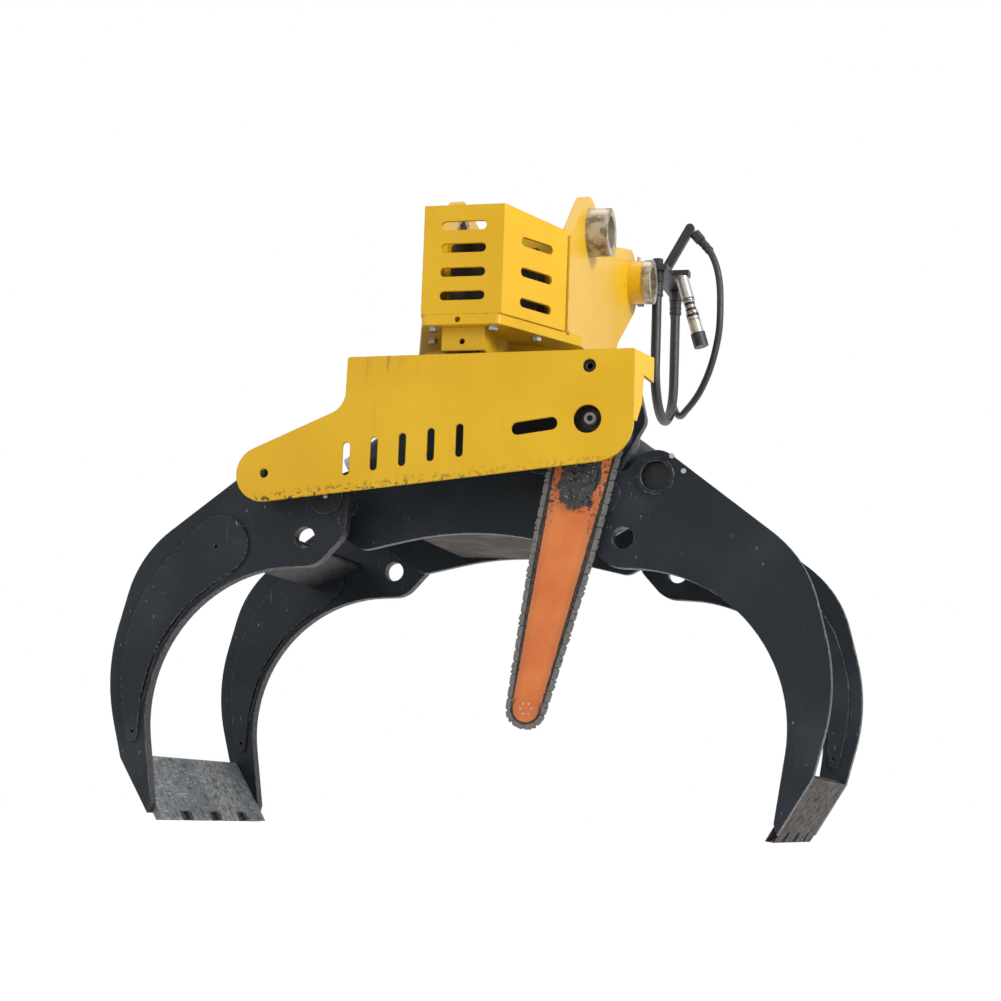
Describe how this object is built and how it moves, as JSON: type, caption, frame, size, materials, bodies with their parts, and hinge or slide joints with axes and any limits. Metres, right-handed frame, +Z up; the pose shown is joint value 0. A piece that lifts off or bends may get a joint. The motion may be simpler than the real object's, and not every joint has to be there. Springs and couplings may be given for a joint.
{
  "type": "excavator tree shear grapple",
  "caption": "Hydraulic log grapple with two curved tines, a swinging chain saw bar and a slewing head that hangs on two pins.",
  "frame": {"origin": "middle of the arm pin bore, half way between the two ears", "axes": "+X along the pins towards the saw side, +Y to the rear, away from the saw, +Z up as it hangs"},
  "size_m": [1.256, 0.9885, 1.2364],
  "materials": {
    "yellow_paint": "semi-gloss chrome yellow, chipped edges",
    "tine_paint": "semi-gloss blue-black, scratched",
    "machined_steel": "oiled turned steel",
    "bush_steel": "turned steel with dry grease",
    "pin_steel": "painted steel, rubbed",
    "chrome_rod": "hard chrome",
    "hose_rubber": "matt black",
    "bar_paint": "red oxide orange, worn to steel",
    "chain_steel": "oily dark steel",
    "worn_steel": "scratched, rusty and muddy"
  },
  "bodies": {
    "head": {"head_base_plate": "yellow_paint", "head_ear_left": "yellow_paint", "head_ear_right": "yellow_paint", "head_front_bulkhead": "yellow_paint", "head_rear_cross_plate": "yellow_paint", "head_cover": "yellow_paint", "cover_bolts": "machined_steel", "link_bushes": "bush_steel", "arm_bushes": "bush_steel", "slew_motor": "tine_paint", "slew_ring_inner": "machined_steel", "slew_ring_bolts": "machined_steel", "pinion_guard": "yellow_paint", "swivel_housing": "tine_paint", "hose_bracket": "tine_paint", "hose_fittings": "machined_steel", "quick_coupler": "machined_steel", "coupler_cap": "hose_rubber", "hose_thick": "hose_rubber", "hose_thin": "hose_rubber"},
    "pinion": {"slew_pinion": "machined_steel"},
    "frame": {"slew_ring_outer": "machined_steel", "frame_top_plate": "tine_paint", "frame_front_plate": "tine_paint", "frame_rear_plate": "tine_paint", "frame_bottom_plate": "worn_steel", "frame_side_webs": "tine_paint", "pivot_pins_left": "pin_steel", "pivot_pins_right": "pin_steel", "anchor_pins": "machined_steel", "saw_mount_plate": "tine_paint", "saw_guard": "yellow_paint", "guard_spacers": "tine_paint", "saw_bearing": "tine_paint", "saw_motor": "tine_paint", "swivel_core": "machined_steel"},
    "saw": {"saw_bar": "bar_paint", "bar_clamp": "tine_paint", "saw_chain": "chain_steel"},
    "nose_wheel": {"nose_sprocket": "machined_steel"},
    "drive_wheel": {"drive_sprocket": "machined_steel"},
    "tine_left": {"tine_left_front_plate": "tine_paint", "tine_left_rear_plate": "tine_paint", "tine_left_doublers": "tine_paint", "tine_left_tip_plate": "worn_steel", "tine_left_crossmember": "tine_paint", "tine_left_cylinder_pin": "machined_steel"},
    "tine_right": {"tine_right_front_plate": "tine_paint", "tine_right_rear_plate": "tine_paint", "tine_right_doublers": "tine_paint", "tine_right_tip_plate": "worn_steel", "tine_right_crossmember": "tine_paint", "tine_right_cylinder_pin": "machined_steel"},
    "barrel_left": {"cylinder_left_barrel": "tine_paint", "cylinder_left_gland": "machined_steel"},
    "barrel_right": {"cylinder_right_barrel": "tine_paint", "cylinder_right_gland": "machined_steel"},
    "rod_left": {"cylinder_left_rod": "chrome_rod"},
    "rod_right": {"cylinder_right_rod": "chrome_rod"}
  },
  "joints": [
    {"name": "slew", "type": "hinge", "parent": "head", "child": "frame", "pos_m": [-0.02, -0.37, 0], "axis": [0, 0, 1], "continuous": true},
    {"name": "pinion_spin", "type": "hinge", "parent": "head", "child": "pinion", "pos_m": [-0.02, -0.5525, 0], "axis": [0, 0, 1], "continuous": true},
    {"name": "grip", "type": "hinge", "parent": "frame", "child": "tine_right", "pos_m": [0.224, -0.37, -0.525], "axis": [0, 1, 0], "range_deg": [-6, 48.5]},
    {"name": "grip_left", "type": "hinge", "parent": "frame", "child": "tine_left", "pos_m": [-0.264, -0.37, -0.525], "axis": [0, -1, 0], "range_deg": [-6.5, 49]},
    {"name": "barrel_right_swing", "type": "hinge", "parent": "frame", "child": "barrel_right", "pos_m": [0.1, -0.37, -0.339], "axis": [0, 1, 0], "range_deg": [-3, 16]},
    {"name": "barrel_left_swing", "type": "hinge", "parent": "frame", "child": "barrel_left", "pos_m": [-0.14, -0.37, -0.339], "axis": [0, -1, 0], "range_deg": [-3, 16]},
    {"name": "rod_right_slide", "type": "slide", "parent": "barrel_right", "child": "rod_right", "axis": [0.8122, 0, -0.5834], "range_m": [-0.008, 0.058]},
    {"name": "rod_left_slide", "type": "slide", "parent": "barrel_left", "child": "rod_left", "axis": [-0.8122, 0, -0.5834], "range_m": [-0.008, 0.058]},
    {"name": "bar_swing", "type": "hinge", "parent": "frame", "child": "saw", "pos_m": [0.209, -0.37, -0.402], "axis": [0, 1, 0], "range_deg": [-25, 70]},
    {"name": "saw_spin", "type": "hinge", "parent": "frame", "child": "drive_wheel", "pos_m": [0.209, -0.37, -0.402], "axis": [0, 1, 0], "continuous": true},
    {"name": "nose_spin", "type": "hinge", "parent": "saw", "child": "nose_wheel", "pos_m": [0.10923, -0.37, -0.88378], "axis": [0, 1, 0], "continuous": true}
  ],
  "couplings": [
    {"joint": "pinion_spin", "follows": "slew", "ratio": -4.6154},
    {"joint": "grip_left", "follows": "grip", "ratio": 1},
    {"joint": "barrel_right_swing", "follows": "grip", "ratio": 0.246},
    {"joint": "barrel_left_swing", "follows": "grip", "ratio": 0.246},
    {"joint": "rod_right_slide", "follows": "grip", "m_per_rad": 0.0622},
    {"joint": "rod_left_slide", "follows": "grip", "m_per_rad": 0.0622},
    {"joint": "nose_spin", "follows": "saw_spin", "ratio": 1.8889}
  ]
}
